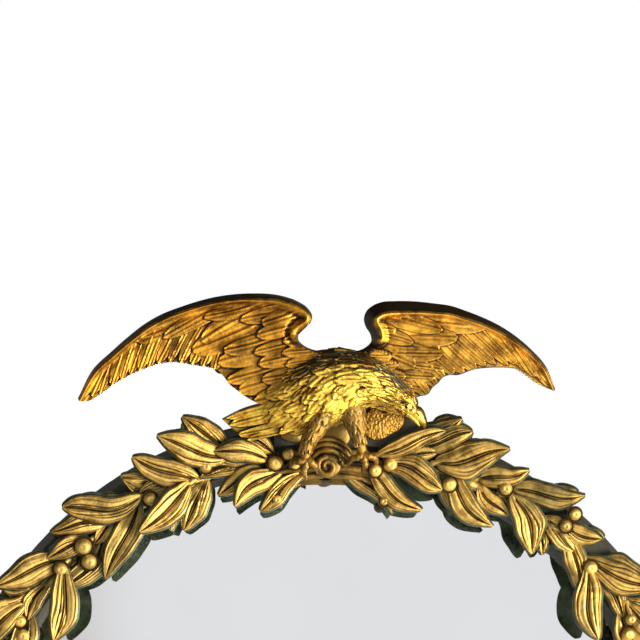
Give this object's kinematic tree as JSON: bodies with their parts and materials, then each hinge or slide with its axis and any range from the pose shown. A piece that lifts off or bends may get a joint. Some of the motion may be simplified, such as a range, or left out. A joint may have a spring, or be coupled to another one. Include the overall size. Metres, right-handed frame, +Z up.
{
  "type": "girandole mirror",
  "caption": "Round convex wall mirror in a carved gilt laurel wreath frame, crested by a spread eagle on a scroll; hung from a plate let into the back.",
  "frame": {"origin": "centre of the hook hole in the hanging plate, on the wall plane", "axes": "+X to the viewer's right, +Z up, +Y into the wall; the room is at -Y"},
  "size_m": [0.802, 0.097, 0.9199],
  "materials": {
    "gilt": "oil-gilded carved limewood, bronze powder worn, dark green-black in the recesses",
    "dark_wood": "pine painted dark green-black, gold at the front edge",
    "mirror_glass": "silvered convex glass",
    "pine": "bare aged pine",
    "brass": "dull aged brass",
    "iron": "forged flat bar, blackened",
    "steel_screws": "slotted wood screws, oxidised"
  },
  "bodies": {
    "frame": {"backboard_centre": "pine", "backboard_left": "pine", "backboard_right": "pine", "crest_block": "dark_wood", "crest_board": "gilt", "crest_screws": "steel_screws", "d_ring_strap_left": "brass", "d_ring_strap_right": "brass", "d_ring_strap_screws": "steel_screws", "eagle_body": "gilt", "eagle_screws": "steel_screws", "eagle_tail": "gilt", "foot_rosette": "gilt", "glazing_blocks": "pine", "hang_plate": "brass", "hang_plate_screws": "steel_screws", "laurel_left_1": "gilt", "laurel_left_2": "gilt", "laurel_left_3": "gilt", "laurel_left_4": "gilt", "laurel_left_5": "gilt", "laurel_left_6": "gilt", "laurel_left_7": "gilt", "laurel_left_8": "gilt", "laurel_left_9": "gilt", "laurel_right_1": "gilt", "laurel_right_2": "gilt", "laurel_right_3": "gilt", "laurel_right_4": "gilt", "laurel_right_5": "gilt", "laurel_right_6": "gilt", "laurel_right_7": "gilt", "laurel_right_8": "gilt", "laurel_right_9": "gilt", "leg_left": "gilt", "leg_right": "gilt", "mirror_glass": "mirror_glass", "ring_core": "dark_wood", "scroll": "gilt", "turn_button_screws": "steel_screws", "wing_left": "gilt", "wing_right": "gilt", "wing_strip": "iron", "wing_strip_screws": "steel_screws"},
    "button_1": {"turn_button_1": "brass"},
    "button_2": {"turn_button_2": "brass"},
    "button_3": {"turn_button_3": "brass"},
    "button_4": {"turn_button_4": "brass"},
    "button_5": {"turn_button_5": "brass"},
    "button_6": {"turn_button_6": "brass"},
    "d_ring_left": {"d_ring_left": "brass"},
    "d_ring_right": {"d_ring_right": "brass"}
  },
  "joints": [
    {"name": "button_1_turn", "type": "hinge", "parent": "frame", "child": "button_1", "pos_m": [0.15468, -0.006, -0.05129], "axis": [0, 1, 0], "range_deg": [-90, 90]},
    {"name": "button_2_turn", "type": "hinge", "parent": "frame", "child": "button_2", "pos_m": [0.366, -0.006, -0.383], "axis": [0, 1, 0], "range_deg": [-90, 90]},
    {"name": "button_3_turn", "type": "hinge", "parent": "frame", "child": "button_3", "pos_m": [0.20993, -0.006, -0.68281], "axis": [0, 1, 0], "range_deg": [-90, 90]},
    {"name": "button_4_turn", "type": "hinge", "parent": "frame", "child": "button_4", "pos_m": [-0.20993, -0.006, -0.68281], "axis": [0, 1, 0], "range_deg": [-90, 90]},
    {"name": "button_5_turn", "type": "hinge", "parent": "frame", "child": "button_5", "pos_m": [-0.366, -0.006, -0.383], "axis": [0, 1, 0], "range_deg": [-90, 90]},
    {"name": "button_6_turn", "type": "hinge", "parent": "frame", "child": "button_6", "pos_m": [-0.15468, -0.006, -0.05129], "axis": [0, 1, 0], "range_deg": [-90, 90]},
    {"name": "d_ring_left_swing", "type": "hinge", "parent": "frame", "child": "d_ring_left", "pos_m": [-0.29196, -0.0042, -0.1549], "axis": [0.6157, 0, 0.788], "range_deg": [0, 110]},
    {"name": "d_ring_right_swing", "type": "hinge", "parent": "frame", "child": "d_ring_right", "pos_m": [0.29196, -0.0042, -0.1549], "axis": [0.6157, 0, -0.788], "range_deg": [0, 110]}
  ]
}
